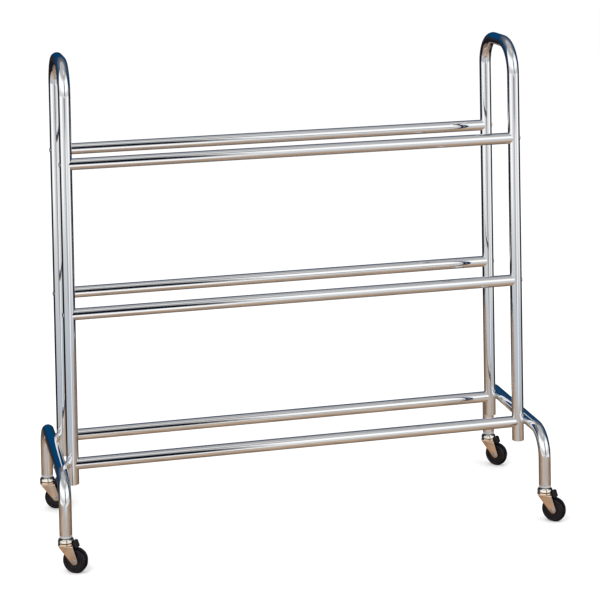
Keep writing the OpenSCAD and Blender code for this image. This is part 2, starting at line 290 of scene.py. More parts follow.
def arch(name, node, x, span, bend_r, run_z, end_z, material):
    """Open-ended tube with its wall and lightly broken end edges."""
    shell = Shell()
    outer = arch_rings(x, span, bend_r, run_z, end_z, tube_r)
    inner = arch_rings(x, span, bend_r, run_z, end_z, tube_r - WALL)
    lift = UP * TUBE_EDGE
    shrink = 1 - TUBE_EDGE / tube_r

    def broken(ring):
        centre = sum(ring, Vector()) / len(ring)
        return [centre + (p - centre) * shrink for p in ring]

    rings = [broken(outer[0]), [p + lift for p in outer[0]]]
    rings += outer[1:-1]
    rings += [[p + lift for p in outer[-1]], broken(outer[-1])]
    rings += list(reversed(inner))
    shell.add(rings, loop=True)
    return stand_for(node, shell.object(name, material))


# ---------- rails ----------

def rail(name, node, y, z, material):
    """Straight tube along X whose ends are coped to the round legs."""

    def ring(x, r, end):
        points = []
        for t in circle_angles(TUBE_SEGMENTS):
            dy, dz = r * math.cos(t), r * math.sin(t)
            cope = math.sqrt((tube_r + FIT_GAP) ** 2 - dy * dy)
            px = x if end == 0 else end * (leg_x - cope) + x
            points.append(Vector((px, y + dy, z + dz)))
        return points

    inner_r = rail_r - WALL
    reach = leg_x - tube_r - 2 * MM
    count = round(2 * reach / STATION_STEP)
    outer = [ring(0, rail_r - TUBE_EDGE, -1), ring(TUBE_EDGE, rail_r, -1)]
    outer += [ring(-reach + 2 * reach * i / count, rail_r, 0) for i in range(count + 1)]
    outer += [ring(-TUBE_EDGE, rail_r, 1), ring(0, rail_r - TUBE_EDGE, 1)]
    inner = [ring(0, inner_r, 1), ring(reach, inner_r, 0), ring(-reach, inner_r, 0), ring(0, inner_r, -1)]
    shell = Shell()
    shell.add(outer + inner, loop=True)
    return stand_for(node, shell.object(name, material))


# ---------- fasteners and saddles ----------

HEAD_R = 6.5 * MM
HEAD_H = 2.5 * MM
HEAD_STEPS = 9
SOCKET_FLATS = 4 * MM
SOCKET_DEPTH = 1.8 * MM
SOCKET_RIM = 0.3 * MM
BOLT_R = 4 * MM
BOLT_REACH = 38 * MM
HEAD_SEGMENTS = 48


def hexagon_r(angle, flats):
    """Distance from the middle of a hexagon to its edge."""
    sector = math.pi / 3
    return flats / 2 / math.cos((angle % sector) - sector / 2)


def head_rings(outward, centre):
    """Domed socket head seated on a round leg, on its shank, from the shank's end to the socket's floor."""

    def ring(height, radius, seated=False):
        points = []
        for t in circle_angles(HEAD_SEGMENTS):
            r = radius(t) if callable(radius) else radius
            dy, dz = r * math.cos(t), r * math.sin(t)
            seat = math.sqrt(tube_r ** 2 - dy * dy) if seated else 0
            points.append(centre + Vector((outward * (height + seat), dy, dz)))
        return points

    dome_r = (HEAD_R ** 2 + HEAD_H ** 2) / (2 * HEAD_H)
    rings = [ring(-BOLT_REACH, BOLT_R), ring(tube_r - 1 * MM, BOLT_R)]
    rings += [ring(FIT_GAP, HEAD_R - 0.3 * MM, seated=True), ring(0.3 * MM, HEAD_R, seated=True)]
    mouth = math.asin((SOCKET_FLATS / 2 + 3 * SOCKET_RIM) / dome_r)
    edge = math.asin(HEAD_R / dome_r)
    for i in range(HEAD_STEPS + 1):
        a = edge + (mouth - edge) * i / HEAD_STEPS
        rings.append(ring(tube_r + HEAD_H - dome_r + dome_r * math.cos(a), dome_r * math.sin(a)))
    top = tube_r + HEAD_H - dome_r + dome_r * math.cos(mouth)
    rings.append(ring(top, lambda t: hexagon_r(t, SOCKET_FLATS) + SOCKET_RIM))
    rings.append(ring(top - SOCKET_RIM, lambda t: hexagon_r(t, SOCKET_FLATS)))
    rings.append(ring(top - SOCKET_DEPTH, lambda t: hexagon_r(t, SOCKET_FLATS)))
    return rings


def rail_bolts(side, material):
    shell = Shell()
    for y in (-leg_y, leg_y):
        for tier in ("middle", "top"):
            shell.add(head_rings(SIDES[side], Vector((SIDES[side] * leg_x, y, tier_z[tier]))))
    node = f"rail_bolts_{side}"
    return stand_for(node, shell.object(f"{node}_shape", material))


CAP_R = 7 * MM
CAP_H = 1 * MM
CAP_EDGE = 0.8 * MM


def foot_bolts(side, material):
    """Low heads that follow the round of the foot tube, on shanks that reach into the bottom rails."""
    outward = SIDES[side]

    def ring(centre, r, rise):
        return [
            centre + Vector((
                outward * math.sqrt((tube_r + rise) ** 2 - (r * math.sin(t)) ** 2),
                r * math.cos(t),
                r * math.sin(t),
            ))
            for t in circle_angles(HEAD_SEGMENTS)
        ]

    def shank(centre, reach):
        return [
            centre + Vector((outward * reach, BOLT_R * math.cos(t), BOLT_R * math.sin(t)))
            for t in circle_angles(HEAD_SEGMENTS)
        ]

    shell = Shell()
    for y in (-leg_y, leg_y):
        centre = Vector((outward * foot_x, y, tier_z["bottom"]))
        rings = [shank(centre, leg_x - foot_x - BOLT_REACH), shank(centre, tube_r - 1.5 * MM)]
        rings += [ring(centre, CAP_R - 0.2 * MM, FIT_GAP), ring(centre, CAP_R, 0.2 * MM)]
        for i in range(6):
            a = math.pi / 2 * i / 5
            rings.append(ring(
                centre,
                CAP_R - CAP_EDGE + CAP_EDGE * math.cos(a),
                CAP_H - CAP_EDGE + CAP_EDGE * math.sin(a),
            ))
        rings += [ring(centre, CAP_R * share, CAP_H) for share in (0.7, 0.45, 0.2)]
        shell.add(rings)
    node = f"foot_bolts_{side}"
    return stand_for(node, shell.object(f"{node}_shape", material))


SADDLE_GROOVE = 1.3 * MM
SADDLE_STEPS = 16


def foot_saddles(side, material):
    """Two rounded beads between leg and foot tube, with a groove between them, bored for the long bolts."""
    outward = SIDES[side]
    node = f"foot_saddles_{side}"
    saddle_r = size_of(node).z / 2
    bore_r = BOLT_R + 0.2 * MM
    gap = foot_x - leg_x
    shell = Shell()

    def ring(y, r, share):
        points = []
        for t in circle_angles(TURNED_SEGMENTS):
            dy, dz = r * math.cos(t), r * math.sin(t)
            start = math.sqrt((tube_r + FIT_GAP) ** 2 - dy * dy)
            end = gap - math.sqrt((tube_r + FIT_GAP) ** 2 - dz * dz)
            x = leg_x + start + (end - start) * share
            points.append(Vector((outward * x, y + dy, tier_z["bottom"] + dz)))
        return points

    for y in (-leg_y, leg_y):
        rings = [ring(y, bore_r, 1), ring(y, bore_r, 0)]
        for i in range(SADDLE_STEPS + 1):
            share = i / SADDLE_STEPS
            bead = math.sqrt(abs(math.sin(2 * math.pi * share)))
            rings.append(ring(y, saddle_r - SADDLE_GROOVE * (1 - bead), share))
        shell.add(rings, loop=True)
    return stand_for(node, shell.object(f"{node}_shape", material))


# ---------- casters ----------

BALL_PITCH_R = 14 * MM
GROOVE_R = 2.05 * MM
KINGPIN_R = 5.05 * MM
FORK_T = 2.2 * MM
FORK_BEND_R = 4.5 * MM
SHEET_EDGE = 0.6 * MM
FORK_TIP_R = 8.5 * MM
FORK_HALF_W = 14.7 * MM
FORK_FRONT = -19 * MM
FORK_REAR = 21 * MM
CROWN_H = 4 * MM
CROWN_UNDER = 0.5 * MM
SOCKET_BORE_R = 5.52 * MM
AXLE_HEAD_H = 2 * MM
HUB_HALF_W = 11.25 * MM
WEB_HALF_W = 6.5 * MM
RIM_HALF_W = 10 * MM
AXLE_R = 4 * MM
RIVET_R = 5.6 * MM
GUARD_WALL = 2 * MM
GUARD_HALF_W = 8.5 * MM
GUARD_BASE = 13 * MM
GUARD_TOP = 8 * MM
GUARD_ROUND = 2.2 * MM
GUARD_LIP = 0.4 * MM


def groove(z_face, z_balls):
    """Points of the ball groove where it meets a flat face, from its outer edge to its inner edge."""
    rise = z_balls - z_face
    half = math.acos(abs(rise) / GROOVE_R)
    sign = -1 if rise > 0 else 1
    points = []
    for i in range(9):
        a = half * (1 - i / 4)
        points.append((
            BALL_PITCH_R + GROOVE_R * math.sin(a),
            z_balls + sign * GROOVE_R * math.cos(a),
        ))
    return points


def section(middle, across, normal, low, high, thickness):
    """One closed cross-section of pressed sheet, its two edges rounded."""
    edge = min(SHEET_EDGE, thickness / 2 * 0.98, (high - low) / 2 * 0.98)
    half = thickness / 2
    points = []
    for sign_a, sign_n, start in ((1, 1, 0), (-1, 1, 1), (-1, -1, 2), (1, -1, 3)):
        limit = high if sign_a > 0 else low
        for step in range(4):
            angle = math.pi / 2 * (start + step / 3)
            points.append(
                middle
                + across * (limit - sign_a * edge + edge * math.cos(angle))
                + normal * (sign_n * (half - edge) + edge * math.sin(angle))
            )
    return points


def leg_edges(z, tip, front_top, rear_top, top_z):
    """Front and rear edge of a fork leg at height z: two straight tapers that run into a round tip."""

    def edge(top_x, sign):
        dx, dz = tip.x - top_x, tip.z - top_z
        reach = math.hypot(dx, dz)
        lean = math.atan2(dx, -dz)
        swing = math.asin(FORK_TIP_R / reach)
        slope = math.tan(lean + sign * swing)
        touch_z = tip.z + sign * FORK_TIP_R * math.sin(lean + sign * swing)
        if z >= touch_z:
            return top_x + slope * (top_z - z)
        return tip.x + sign * math.sqrt(max(0.0, FORK_TIP_R ** 2 - (z - tip.z) ** 2))

    return edge(front_top, -1), edge(rear_top, 1)


def fork_rings(tip, half_w, front_x, rear_x, top_z):
    """Sections of the pressed fork from one tip, up its leg, across the top and down to the other tip."""
    half_t = FORK_T / 2
    bend_mid = FORK_BEND_R - half_t
    bend_z = top_z - FORK_BEND_R
    low_z = tip.z - FORK_TIP_R
    rows = []
    for i in range(15):
        share = 1 - math.cos(math.pi / 2 * i / 14)
        rows.append(low_z + 0.03 * MM + (tip.z - low_z) * share)
    steps = 10
    rows += [tip.z + (bend_z - tip.z) * i / steps for i in range(1, steps + 1)]
    leg = []
    for z in rows:
        low, high = leg_edges(z, tip, front_x, rear_x, top_z)
        rise = z - low_z
        cut = 0.0
        if rise < SHEET_EDGE:
            cut = SHEET_EDGE - math.sqrt(max(0.0, SHEET_EDGE ** 2 - (SHEET_EDGE - rise) ** 2))
        leg.append((half_w - half_t, z, 0.0, low, high, FORK_T - 2 * cut))
    for i in range(1, 9):
        a = math.pi / 2 * i / 8
        z = bend_z + bend_mid * math.sin(a)
        low, high = leg_edges(z, tip, front_x, rear_x, top_z)
        leg.append((half_w - FORK_BEND_R + bend_mid * math.cos(a), z, a, low, high, FORK_T))
    flat_y = half_w - FORK_BEND_R
    half = leg + [(flat_y / 2, top_z - half_t, math.pi / 2, front_x, rear_x, FORK_T)]
    half += [(0.0, top_z - half_t, math.pi / 2, front_x, rear_x, FORK_T)]
    far = [(-y, z, math.pi - a, low, high, t) for y, z, a, low, high, t in reversed(half[:-1])]
    return [
        section(
            Vector((0, y, z)), ALONG, Vector((0, math.cos(a), math.sin(a))), low, high, t,
        )
        for y, z, a, low, high, t in half + far
    ]


def rounded_slab(front, rear, half_w, corner, z):
    """Ring of a rectangle with rounded corners, level at height z."""
    points = []
    for sign_x, sign_y, start in ((1, 1, 0), (-1, 1, 1), (-1, -1, 2), (1, -1, 3)):
        for step in range(6):
            angle = math.pi / 2 * (start + step / 5)
            points.append(Vector((
                (rear if sign_x > 0 else front) - sign_x * corner + corner * math.cos(angle),
                sign_y * (half_w - corner) + corner * math.sin(angle),
                z,
            )))
    return points


def guard_rings(front, low_z, top_z):
    """Level sections of the hooded guard, read down the inside of its pocket and then from its
    foot up to its rounded top."""

    def rear_at(z):
        return front + GUARD_BASE + (GUARD_TOP - GUARD_BASE) * (z - low_z) / (top_z - low_z)

    def slab(z, inset, corner):
        return rounded_slab(front + inset, rear_at(z) - inset, GUARD_HALF_W - inset, corner, z)

    ceiling = top_z - GUARD_WALL
    pocket = (ceiling, (ceiling + low_z) / 2, low_z + GUARD_LIP)
    rings = [slab(z, GUARD_WALL, 0.8 * MM) for z in pocket]
    rings += [slab(low_z, GUARD_WALL - GUARD_LIP, 1.0 * MM), slab(low_z, GUARD_LIP, 1.6 * MM)]
    turn_z = top_z - GUARD_ROUND
    back_z = low_z + GUARD_LIP
    rings += [slab(back_z + (turn_z - low_z - GUARD_LIP) * i / 5, 0.0, GUARD_ROUND) for i in range(6)]
    for i in range(1, 8):
        a = math.pi / 2 * i / 7
        inset = GUARD_ROUND * (1 - math.cos(a))
        rings.append(slab(turn_z + GUARD_ROUND * math.sin(a), inset, max(GUARD_ROUND - inset, 0.3 * MM)))
    return rings


def mirrored(half):
    """A half outline above the middle plane, followed by its reflection."""
    return half + [(r, -h, radius) for r, h, radius in reversed(half)]


def caster(corner, materials):
    """The visible pieces of one caster, built at the origin with the wheel trailing along +X."""
    swivel = joints[f"swivel_turn_{corner}"]
    roll = axis_of(joints[f"wheel_roll_{corner}"])
    angle = math.atan2(-roll.x, roll.y)
    place = Vector((swivel["pos_m"][0], swivel["pos_m"][1], 0))
    turn = Matrix.Rotation(angle, 4, "Z")
    at_swivel = Matrix.Translation(place) @ turn
    at_corner = Matrix.Translation(place)
    local = at_swivel.inverted()

    def put(node, shell, material, placement=at_swivel):
        name = f"{node}_{corner}"
        return stand_for(name, shell.object(f"{name}_shape", materials[material], placement))

    wheel_mid = local @ centre_of(f"wheel_{corner}")
    wheel_r = size_of(f"wheel_{corner}").z / 2
    tip = Vector((wheel_mid.x, 0, wheel_mid.z))

    race_low, race_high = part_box(f"upper_race_{corner}")
    race_r = (race_high.x - race_low.x) / 2
    balls_z = centre_of(f"race_balls_{corner}").z
    crown_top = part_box(f"fork_{corner}")[1].z
    socket_low, socket_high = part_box(f"stem_socket_{corner}")

    socket = Shell()
    socket.add(turned(fillet([
        (SOCKET_BORE_R, socket_low.z, 0.3 * MM),
        (tube_r - 1.2 * MM, socket_low.z, 0.5 * MM),
        (tube_r, socket_low.z + 1.2 * MM, 0.5 * MM),
        (tube_r, foot_end_z, 0.35 * MM),
        (tube_r - WALL - FIT_GAP, foot_end_z, 0),
        (tube_r - WALL - FIT_GAP, socket_high.z, 0.8 * MM),
        (SOCKET_BORE_R, socket_high.z, 0.4 * MM),
    ])), loop=True)
    put("stem_socket", socket, "zinc", at_corner)

    race = Shell()
    low, high = race_low.z, race_high.z
    race.add(turned(fillet([
        (KINGPIN_R - 0.03 * MM, high, 0.2 * MM),
        (KINGPIN_R - 0.03 * MM, low, 0.2 * MM),
        *[(r, z, 0) for r, z in reversed(groove(low, balls_z))],
        (race_r - 0.5 * MM, low, 0.2 * MM),
        (race_r, low + 1.2 * MM, 0.4 * MM),
        (race_r - 1.6 * MM, high - 1.0 * MM, 0.4 * MM),
        (race_r - 2.2 * MM, high, 0.3 * MM),
        (race_r - 3.0 * MM, high, 0.3 * MM),
        (race_r - 3.6 * MM, high - 2.2 * MM, 0.6 * MM),
        (12.6 * MM, high - 2.2 * MM, 0.8 * MM),
        (11.6 * MM, high, 0.3 * MM),
    ])), loop=True)
    put("upper_race", race, "plated_steel", at_corner)

    fork = Shell()
    crown_z = crown_top - CROWN_H
    fork.add(fork_rings(tip, FORK_HALF_W, FORK_FRONT, FORK_REAR, crown_z))
    fork.add(turned(fillet([
        (KINGPIN_R, crown_z - CROWN_UNDER, 0.2 * MM),
        (race_r - 0.7 * MM, crown_z - CROWN_UNDER, 0.3 * MM),
        (race_r, crown_z + 0.5 * MM, 0.4 * MM),
        (race_r - 1.2 * MM, crown_top - 0.5 * MM, 0.3 * MM),
        (race_r - 1.7 * MM, crown_top, 0.2 * MM),
        *[(r, z, 0) for r, z in groove(crown_top, balls_z)],
        (KINGPIN_R, crown_top, 0.2 * MM),
    ])), loop=True)
    put("fork", fork, "fork")

    guard = Shell()
    guard_low, guard_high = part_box(f"wheel_guard_{corner}")
    guard.add(guard_rings(FORK_REAR + FIT_GAP, guard_low.z, guard_high.z))
    put("wheel_guard", guard, "guard")

    axle = Shell()
    head_low, head_high = FORK_HALF_W + 0.01 * MM, FORK_HALF_W + AXLE_HEAD_H
    axle.add(turned(fillet([
        (0.6 * MM, -head_high + 0.5 * MM, 0),
        (1.5 * MM, -head_high, 0.4 * MM),
        (RIVET_R - 1.6 * MM, -head_high, 0.8 * MM),
        (RIVET_R, -head_low - 0.8 * MM, 0.8 * MM),
        (RIVET_R, -head_low, 0.2 * MM),
        (AXLE_R, -head_low, 0),
        (AXLE_R, head_low, 0),
        (RIVET_R, head_low, 0.2 * MM),
        (RIVET_R, head_low + 0.8 * MM, 0.8 * MM),
        (RIVET_R - 1.6 * MM, head_high, 0.8 * MM),
        (1.5 * MM, head_high, 0.4 * MM),
        (0.6 * MM, head_high - 0.5 * MM, 0),
    ], closed=False), axis=DEPTH, centre=tip), loop=False)
    put("axle", axle, "steel")

    wheel = Shell()
    wheel.add(turned(fillet(mirrored([
        (5.62 * MM, HUB_HALF_W, 0.3 * MM),
        (10.4 * MM, HUB_HALF_W, 0.6 * MM),
        (11.6 * MM, WEB_HALF_W, 0.9 * MM),
        (16.5 * MM, WEB_HALF_W, 0.3 * MM),
        (16.9 * MM, WEB_HALF_W + 0.5 * MM, 0.3 * MM),
        (17.9 * MM, WEB_HALF_W + 0.5 * MM, 0.3 * MM),
        (18.3 * MM, WEB_HALF_W, 0.3 * MM),
        (wheel_r - 9.6 * MM, WEB_HALF_W, 0.9 * MM),
        (wheel_r - 8.4 * MM, RIM_HALF_W - 0.1 * MM, 0.4 * MM),
        (wheel_r - 6.9 * MM, RIM_HALF_W - 0.02 * MM, 0.4 * MM),
        (wheel_r - 6.2 * MM, RIM_HALF_W - 0.6 * MM, 0.4 * MM),
        (wheel_r - 0.14 * MM, RIM_HALF_W - 0.5 * MM, 4.2 * MM),
        (wheel_r - 0.14 * MM, 0.35 * MM, 0.1 * MM),
        (wheel_r, 0.15 * MM, 0),
    ])), axis=DEPTH, centre=tip), loop=True)
    put("wheel", wheel, "wheel")


# ---------- materials ----------

class Tree:
    """Short way to write a node tree."""

    def __init__(self, tree):
        self.tree = tree
        tree.nodes.clear()

    def node(self, kind, inputs=None, **settings):
        made = self.tree.nodes.new(kind)
        for key, value in settings.items():
            setattr(made, key, value)
        for key, value in (inputs or {}).items():
            if isinstance(value, bpy.types.NodeSocket):
                self.tree.links.new(value, made.inputs[key])
            else:
                made.inputs[key].default_value = value
        return made

    def math(self, operation, *values, clamp=False):
        return self.node(
            "ShaderNodeMath", dict(enumerate(values)), operation=operation, use_clamp=clamp,
        ).outputs[0]

    def vector(self, operation, *values):
        return self.node("ShaderNodeVectorMath", dict(enumerate(values)), operation=operation)

    def range(self, value, low, high, to_low=0.0, to_high=1.0, smooth=True):
        return self.node(
            "ShaderNodeMapRange",
            {"Value": value, "From Min": low, "From Max": high, "To Min": to_low, "To Max": to_high},
            interpolation_type="SMOOTHSTEP" if smooth else "LINEAR",
        ).outputs["Result"]

    def mix(self, factor, first, second):
        made = self.node("ShaderNodeMix", data_type="RGBA")
        for socket, value in ((0, factor), (6, first), (7, second)):
            if isinstance(value, bpy.types.NodeSocket):
                self.tree.links.new(value, made.inputs[socket])
            else:
                made.inputs[socket].default_value = value
        return made.outputs[2]

    def noise(self, vector, scale, detail=2.0, roughness=0.5):
        return self.node(
            "ShaderNodeTexNoise",
            {"Vector": vector, "Scale": scale, "Detail": detail, "Roughness": roughness},
        ).outputs["Fac"]

    def ramp(self, value, stops):
        made = self.node("ShaderNodeValToRGB", {"Fac": value})
        elements = made.color_ramp.elements
        while len(elements) < len(stops):
            elements.new(0.5)
        for element, (position, colour) in zip(elements, stops):
            element.position = position
            element.color = colour
        return made.outputs["Color"]


def rgb(red, green, blue):
    return (red, green, blue, 1.0)


def new_tree(name):
    material = bpy.data.materials.new(name)
    material.use_nodes = True
    return material, Tree(material.node_tree)


def surface(tree, inputs, bumps):
    """Principled surface with one or more (height, distance, strength) bumps laid over each other."""
    normal = None
    for height, distance, strength in bumps:
        inputs_bump = {"Height": height, "Distance": distance, "Strength": strength}
        if normal is not None:
            inputs_bump["Normal"] = normal
        normal = tree.node("ShaderNodeBump", inputs_bump).outputs["Normal"]
    shader = tree.node("ShaderNodeBsdfPrincipled", {**inputs, "Normal": normal})
    tree.node("ShaderNodeOutputMaterial", {"Surface": shader.outputs[0]})


def edge_wear(tree, radius, noise, amount):
    """Share of wear, high along outer edges and broken up by noise."""
    worn = tree.node("ShaderNodeBevel", {"Radius": radius}, samples=4).outputs[0]
    normal = tree.node("ShaderNodeNewGeometry").outputs["Normal"]
    bend = tree.vector("DOT_PRODUCT", worn, normal).outputs["Value"]
    edge = tree.range(bend, 0.995, 0.90)
    return tree.math("MULTIPLY", tree.math("MULTIPLY", edge, tree.range(noise, 0.42, 0.62)), amount)


# Painted shade on plated steel that looks up: a dark, duller, less metallic tone that stands in for the dark
# reflection and shade on its top faces. Its colour, the lean at which it starts and is full, and what it adds to
# the roughness and takes from the metal
TOP_SHADE_TONE = rgb(0.030, 0.028, 0.026)
TOP_SHADE_LEAN = (0.60, 0.85)
TOP_SHADE_ROUGH = 0.40
TOP_SHADE_METAL = -0.8


def plating(name, bright, deep, rough_low, rough_high, uv=True, lines=0.25, top_shade=0.0):
    """Bright plating: handling smears in the gloss, faint polishing lines round the part, fine pits.
    The last argument sets how much painted shade darkens the faces that look up, standing in for their dark
    reflection."""
    material, tree = new_tree(name)
    coords = tree.node("ShaderNodeTexCoord")
    place = coords.outputs["Object"]
    grain_at = coords.outputs["UV"] if uv else place
    stretched = tree.vector("MULTIPLY", grain_at, (35.0, 1800.0, 35.0)).outputs[0]
    polish = tree.noise(stretched, 1.0, 3.0, 0.6)
    smear = tree.noise(place, 14.0, 4.0, 0.6)
    cloud = tree.noise(place, 3.5, 2.0)
    peel = tree.noise(place, 420.0, 1.0)
    pits = tree.range(tree.noise(place, 900.0, 2.0, 0.7), 0.74, 0.80)
    near_floor = tree.range(tree.node("ShaderNodeSeparateXYZ", {0: place}).outputs["Z"], 0.26, 0.06)
    pits = tree.math("MULTIPLY", pits, tree.math("MULTIPLY_ADD", near_floor, 0.7, 0.1))
    tint = tree.mix(tree.range(cloud, 0.35, 0.65), bright, deep)
    tint = tree.mix(pits, tint, rgb(0.28, 0.19, 0.13))
    rough = tree.range(smear, 0.35, 0.75, rough_low, rough_high)
    rough = tree.math("ADD", rough, tree.math("MULTIPLY", pits, 0.35))
    rough = tree.math("MULTIPLY_ADD", near_floor, 0.03, rough)
    # Painted shade: faces that look up are darkened and dulled toward the top shade tone, standing in for their
    # dark reflection
    facing = tree.node("ShaderNodeNewGeometry").outputs["True Normal"]
    facing_up = tree.range(tree.node("ShaderNodeSeparateXYZ", {0: facing}).outputs["Z"], *TOP_SHADE_LEAN)
    dust_and_top_shade = tree.math("MULTIPLY", facing_up, top_shade)
    tint = tree.mix(dust_and_top_shade, tint, TOP_SHADE_TONE)
    rough = tree.math("MULTIPLY_ADD", dust_and_top_shade, TOP_SHADE_ROUGH, rough)
    surface(tree, {
        "Base Color": tint,
        "Metallic": tree.math("MULTIPLY_ADD", dust_and_top_shade, TOP_SHADE_METAL, 1.0),
        "Roughness": rough,
    }, [(polish, 0.2 * MM, 0.01 * lines), (peel, 0.2 * MM, 0.012), (pits, -0.05 * MM, 0.25)])
    return material


def galvanised(name, light, dark, rough_low, rough_high, metallic=1.0):
    """Dull zinc or plain steel: cloudy passivation, fine turned lines and rubbed edges."""
    material, tree = new_tree(name)
    place = tree.node("ShaderNodeTexCoord").outputs["Object"]
    cloud = tree.noise(place, 60.0, 4.0, 0.6)
    turned_at = tree.vector("MULTIPLY", place, (60.0, 60.0, 2600.0)).outputs[0]
    lines = tree.noise(turned_at, 1.0, 2.0)
    speck = tree.noise(place, 1400.0, 2.0)
    tint = tree.mix(tree.range(cloud, 0.35, 0.7), light, dark)
    rough = tree.range(cloud, 0.3, 0.7, rough_low, rough_high)
    wear = edge_wear(tree, 0.6 * MM, speck, 0.6)
    tint = tree.mix(wear, tint, rgb(0.80, 0.80, 0.80))
    surface(tree, {
        "Base Color": tint, "Metallic": metallic, "Roughness": rough,
    }, [(lines, 0.1 * MM, 0.12), (speck, 0.1 * MM, 0.08)])
    return material


def moulded(name, deep, dust_and_top_shade, rough_low, rough_high, wear_colour, wear_amount, wear_metal):
    """Black rubber or paint: fine grain, dust in patches and rubbed edges."""
    material, tree = new_tree(name)
    place = tree.node("ShaderNodeTexCoord").outputs["Object"]
    dust = tree.noise(place, 45.0, 5.0, 0.65)
    grain = tree.noise(place, 1600.0, 3.0, 0.7)
    scuff = tree.noise(place, 260.0, 4.0, 0.7)
    wear = edge_wear(tree, 0.8 * MM, scuff, wear_amount)
    tint = tree.mix(tree.range(dust, 0.42, 0.72), deep, dust_and_top_shade)
    tint = tree.mix(wear, tint, wear_colour)
    rough = tree.range(dust, 0.35, 0.7, rough_low, rough_high)
    surface(tree, {
        "Base Color": tint,
        "Metallic": tree.math("MULTIPLY", wear, wear_metal),
        "Roughness": rough,
        "Specular IOR Level": 0.32,
    }, [(grain, 0.15 * MM, 0.18), (scuff, 0.2 * MM, 0.12)])
    return material


materials = {
    "tube": plating("plated_tube", rgb(0.92, 0.925, 0.935), rgb(0.87, 0.88, 0.90), 0.03, 0.07),
    "fitting": plating("plated_fitting", rgb(0.86, 0.87, 0.89), rgb(0.78, 0.80, 0.83), 0.06, 0.14),
    "plated_steel": plating(
        "plated_steel", rgb(0.90, 0.85, 0.76), rgb(0.82, 0.77, 0.68), 0.08, 0.18, lines=1.0, top_shade=1.0,
    ),
    "fork": plating(
        "plated_fork", rgb(0.80, 0.63, 0.49), rgb(0.72, 0.55, 0.42), 0.08, 0.18, lines=1.0, top_shade=1.0,
    ),
    "zinc": galvanised(
        "zinc_passivated", rgb(0.66, 0.68, 0.72), rgb(0.54, 0.56, 0.60), 0.30, 0.42, metallic=0.6,
    ),
    "steel": galvanised("bare_steel", rgb(0.60, 0.60, 0.61), rgb(0.42, 0.42, 0.43), 0.25, 0.45),
    "wheel": moulded(
        "wheel_rubber", rgb(0.006, 0.005, 0.008), rgb(0.013, 0.011, 0.014), 0.20, 0.34,
        rgb(0.040, 0.036, 0.040), 0.6, 0.0,
    ),
    "guard": moulded(
        "guard_moulding", rgb(0.006, 0.005, 0.008), rgb(0.012, 0.010, 0.013), 0.22, 0.36,
        rgb(0.045, 0.040, 0.042), 0.6, 0.0,
    ),
}


# ---------- the rack ----------

END_BEND_R = 80 * MM
FOOT_BEND_R = 64 * MM

for side, sign in SIDES.items():
    for kind, x, half_span, bend_r, run_z, end_z in (
        ("end_arch", leg_x, leg_y, END_BEND_R, arch_top_z - tube_r, leg_end_z),
        ("foot_arch", foot_x, foot_y, FOOT_BEND_R, tier_z["bottom"], foot_end_z),
    ):
        node = f"{kind}_{side}"
        arch(f"{node}_shape", node, sign * x, 2 * half_span, bend_r, run_z, end_z, materials["tube"])
    rail_bolts(side, materials["fitting"])
    foot_bolts(side, materials["fitting"])
    foot_saddles(side, materials["fitting"])

for tier, z in tier_z.items():
    for place, y in (("front", -leg_y), ("rear", leg_y)):
        node = f"rail_{tier}_{place}"
        rail(f"{node}_shape", node, y, z, materials["tube"])

for corner in CORNERS:
    caster(corner, materials)

# CAD nodes that keep their own mesh, and the material each takes
KEPT = {
    "rail_nuts": "zinc",
    "stem": "steel",
    "grip_ring": "steel",
    "race_balls": "steel",
    "wheel_bush": "steel",
}
for name, made in frame["nodes"].items():
    for start, finish in KEPT.items():
        if name.startswith(start + "_") and not made.hide_render:
            for material_slot in made.material_slots:
                material_slot.material = materials[finish]


# ---------- floor, light and camera ----------

FLOOR_HALF = 60.0
FLOOR_DROP = 0.2 * MM
# The plating sees a glowing tan mat under the rack, painted light that stands in for a lit floor; the eye sees
# only a pale floor.
# Middle and half size of the mat, to the right and away as the camera looks
MAT_MIDDLE = (0.0, 0.225, 0.0)
MAT_HALF = (1.25, 0.975, 0.0)
MAT_FADE = (0.0, 0.12)
# Stretch of the mat's streaks, and how far they darken and lighten it
STREAK_SCALE = (26.0, 3.0, 1.0)
STREAK_SHADES = (0.72, 1.25)
# Painted reflection: brightness of the glowing mat by how far a mirrored ray runs toward the camera (1), straight
# down (0) or away (-1), standing in for the sheen of a semi-glossy floor
MAT_PAINTED_SHEEN = (
    (-1.0, (0.060, 0.050, 0.045, 1)),
    (-0.89, (0.085, 0.070, 0.060, 1)),
    (-0.4, (0.170, 0.130, 0.100, 1)),
    (0.0, (0.310, 0.210, 0.140, 1)),
    (0.28, (0.360, 0.240, 0.160, 1)),
    (0.58, (0.470, 0.360, 0.270, 1)),
    (0.85, (0.480, 0.420, 0.370, 1)),
    (1.0, (0.420, 0.430, 0.450, 1)),
)
ROOM_LIGHT = 1.05
MIRRORED_LIGHT = 1.12


def camera_axes(tree):
    """Level directions to the right and away, as the camera looks."""
    right = tree.node(
        "ShaderNodeVectorTransform", {"Vector": (1.0, 0.0, 0.0)},
        vector_type="VECTOR", convert_from="CAMERA", convert_to="WORLD",
    ).outputs[0]
    right = tree.vector("MULTIPLY", right, (1.0, 1.0, 0.0)).outputs[0]
    right = tree.vector("NORMALIZE", right).outputs[0]
    away = tree.vector("CROSS_PRODUCT", (0.0, 0.0, 1.0), right).outputs[0]
    return right, away


